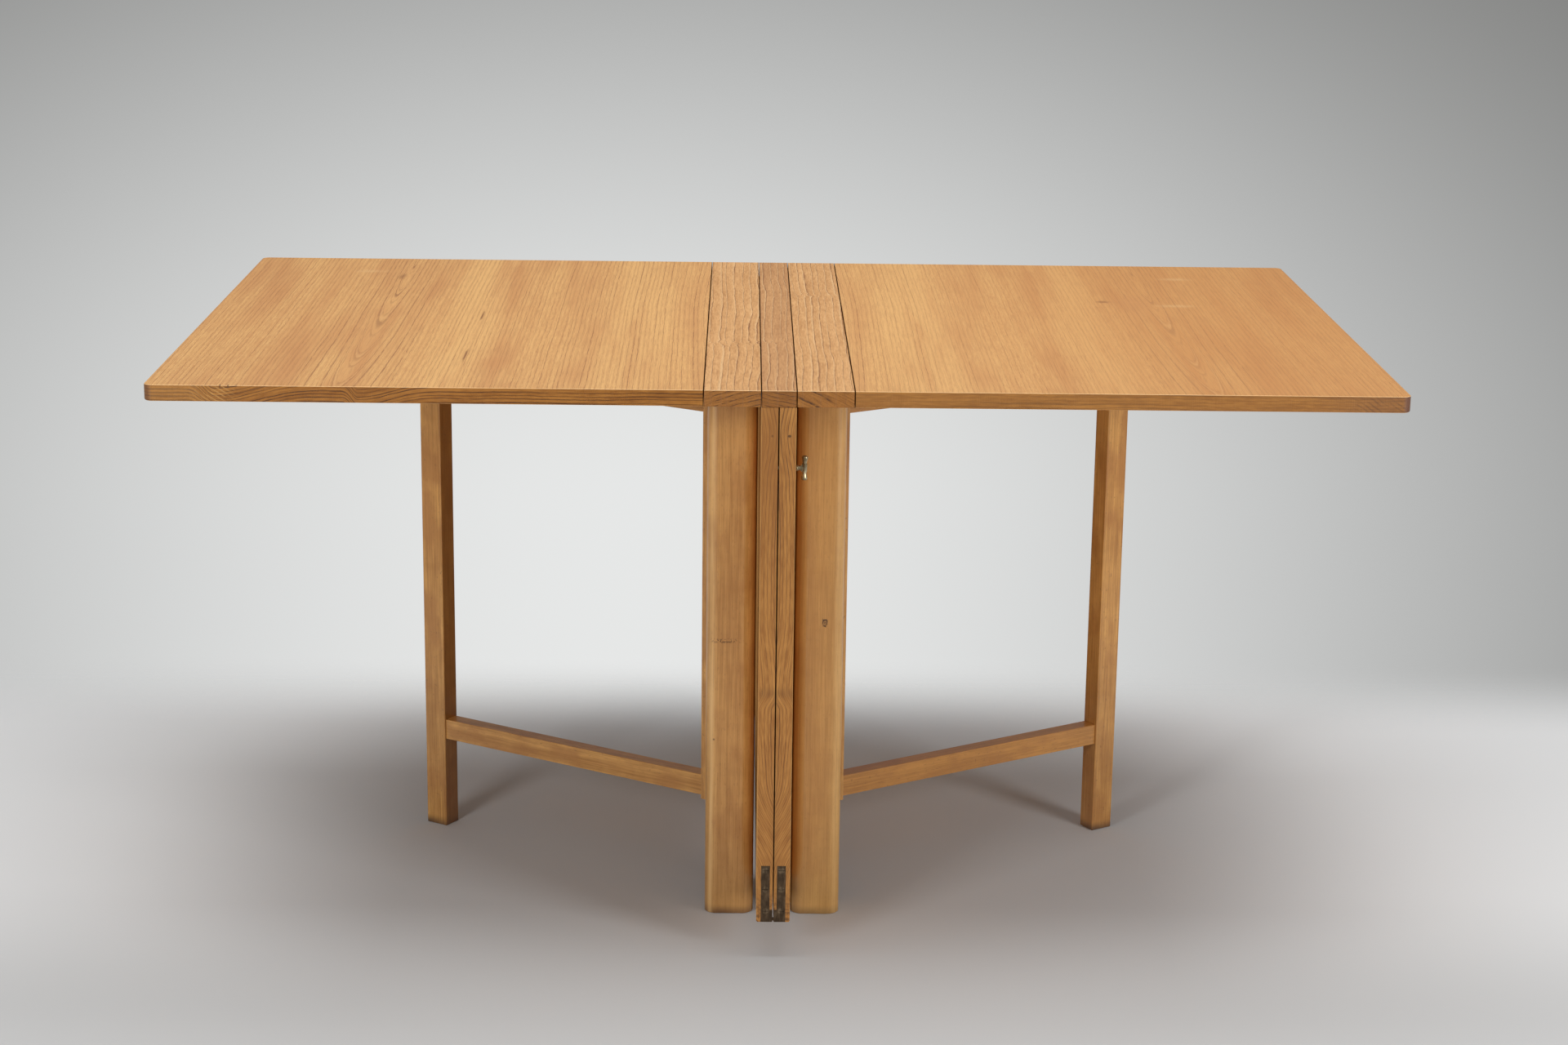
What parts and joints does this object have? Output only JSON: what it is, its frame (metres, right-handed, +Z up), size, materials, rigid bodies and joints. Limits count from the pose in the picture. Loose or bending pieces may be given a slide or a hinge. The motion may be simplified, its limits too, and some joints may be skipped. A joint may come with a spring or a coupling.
{
  "type": "gate-leg drop-leaf dining table",
  "caption": "Extending gate-leg dining table: outer leaves rest on swinging gates, hanging inner leaves unfold between the split stands, a loose strip closes the middle.",
  "frame": {"origin": "on the floor under the middle of the closed-up table, outer leaves up", "axes": "+X along the table's length towards the half with the clamp screw, +Y away from the gates' pivot side, +Z up"},
  "size_m": [1.4994, 0.9, 0.72],
  "materials": {
    "leaf_panel": "satin lacquered veneer, grain along the depth",
    "lipping": "satin lacquered solid edging, grain along the edge",
    "strip": "satin lacquered solid wood with bold grain",
    "frame_wood": "satin oiled plain-grained wood",
    "bronzed_hinge": "dark patina, worn at the screw slots",
    "hinge_steel": "dull plated steel",
    "clamp_brass": "aged brass, rubbed bright"
  },
  "bodies": {
    "left_stand": {"left_fixed_strip": "strip", "left_front_leg": "frame_wood", "left_back_leg": "frame_wood", "left_leg_dowels": "frame_wood", "left_upper_rail": "frame_wood", "left_lower_rail": "frame_wood", "left_pivot_block": "frame_wood", "left_gate_pivot_pins": "hinge_steel", "left_strip_hinge_plates": "hinge_steel", "left_hinge_pins": "hinge_steel", "left_strip_hinge_screws": "hinge_steel"},
    "left_inner_leaf": {"left_inner_leaf": "leaf_panel", "left_inner_leaf_lippings": "lipping", "left_inner_leaf_hinge_plates": "hinge_steel", "left_inner_leaf_hinge_screws": "hinge_steel", "left_card_hinge_plates": "bronzed_hinge", "left_card_hinge_pins": "bronzed_hinge", "left_card_hinge_screws": "bronzed_hinge", "clamp_socket": "clamp_brass"},
    "hinge_links": {"card_hinge_links": "bronzed_hinge"},
    "right_inner_leaf": {"right_inner_leaf": "leaf_panel", "right_inner_leaf_lippings": "lipping", "right_inner_leaf_hinge_plates": "hinge_steel", "right_inner_leaf_hinge_screws": "hinge_steel", "right_card_hinge_plates": "bronzed_hinge", "right_card_hinge_pins": "bronzed_hinge", "right_card_hinge_screws": "bronzed_hinge", "clamp_bush": "clamp_brass"},
    "right_stand": {"right_fixed_strip": "strip", "right_front_leg": "frame_wood", "right_back_leg": "frame_wood", "right_leg_dowels": "frame_wood", "right_upper_rail": "frame_wood", "right_lower_rail": "frame_wood", "right_pivot_block": "frame_wood", "right_gate_pivot_pins": "hinge_steel", "right_strip_hinge_plates": "hinge_steel", "right_hinge_pins": "hinge_steel", "right_strip_hinge_screws": "hinge_steel"},
    "centre_strip": {"centre_strip": "strip"},
    "left_gate": {"left_gate_stile": "frame_wood", "left_gate_post": "frame_wood", "left_gate_top_rail": "frame_wood", "left_gate_stretcher": "frame_wood"},
    "right_gate": {"right_gate_stile": "frame_wood", "right_gate_post": "frame_wood", "right_gate_top_rail": "frame_wood", "right_gate_stretcher": "frame_wood"},
    "left_outer_leaf": {"left_outer_leaf": "leaf_panel", "left_outer_leaf_lippings": "lipping", "left_outer_leaf_hinge_plates": "hinge_steel", "left_outer_leaf_hinge_screws": "hinge_steel"},
    "right_outer_leaf": {"right_outer_leaf": "leaf_panel", "right_outer_leaf_lippings": "lipping", "right_outer_leaf_hinge_plates": "hinge_steel", "right_outer_leaf_hinge_screws": "hinge_steel"},
    "clamp_screw": {"clamp_spindle": "clamp_brass", "clamp_crossbar": "clamp_brass"}
  },
  "joints": [
    {"name": "left_inner_leaf_hinge", "type": "hinge", "parent": "left_stand", "child": "left_inner_leaf", "pos_m": [-0.0208, 0, 0.7], "axis": [0, -1, 0], "range_deg": [0, 90]},
    {"name": "link_pivot", "type": "hinge", "parent": "left_inner_leaf", "child": "hinge_links", "pos_m": [-0.0035, 0, 0.051], "axis": [0, -1, 0], "range_deg": [-90, 0]},
    {"name": "inner_leaves_fold", "type": "hinge", "parent": "left_inner_leaf", "child": "right_inner_leaf", "pos_m": [0, 0, 0.0475], "axis": [0, -1, 0], "range_deg": [-180, 0]},
    {"name": "right_inner_leaf_hinge", "type": "hinge", "parent": "right_inner_leaf", "child": "right_stand", "pos_m": [0.0208, 0, 0.7], "axis": [0, -1, 0], "range_deg": [0, 90]},
    {"name": "centre_strip_lift", "type": "slide", "parent": "left_stand", "child": "centre_strip", "axis": [0, 0, 1], "range_m": [0, 0.236]},
    {"name": "left_gate_pivot", "type": "hinge", "parent": "left_stand", "child": "left_gate", "pos_m": [-0.07235, -0.2085, 0.4], "axis": [0, 0, 1], "range_deg": [-58.5, 31.5]},
    {"name": "right_gate_pivot", "type": "hinge", "parent": "right_stand", "child": "right_gate", "pos_m": [0.07235, -0.2085, 0.4], "axis": [0, 0, 1], "range_deg": [-31.5, 58.5]},
    {"name": "left_outer_leaf_hinge", "type": "hinge", "parent": "left_stand", "child": "left_outer_leaf", "pos_m": [-0.08965, 0, 0.7], "axis": [0, 1, 0], "range_deg": [0, 1.4]},
    {"name": "right_outer_leaf_hinge", "type": "hinge", "parent": "right_stand", "child": "right_outer_leaf", "pos_m": [0.08965, 0, 0.7], "axis": [0, -1, 0], "range_deg": [0, 1.4]},
    {"name": "clamp_screw_turn", "type": "hinge", "parent": "right_inner_leaf", "child": "clamp_screw", "pos_m": [0.0208, -0.43, 0.6218], "axis": [1, 0, 0], "continuous": true}
  ],
  "couplings": [
    {"joint": "link_pivot", "follows": "left_inner_leaf_hinge", "ratio": -1},
    {"joint": "inner_leaves_fold", "follows": "left_inner_leaf_hinge", "ratio": -2},
    {"joint": "right_inner_leaf_hinge", "follows": "left_inner_leaf_hinge", "ratio": 1},
    {"joint": "centre_strip_lift", "follows": "left_inner_leaf_hinge", "m_per_rad": 0.15}
  ]
}
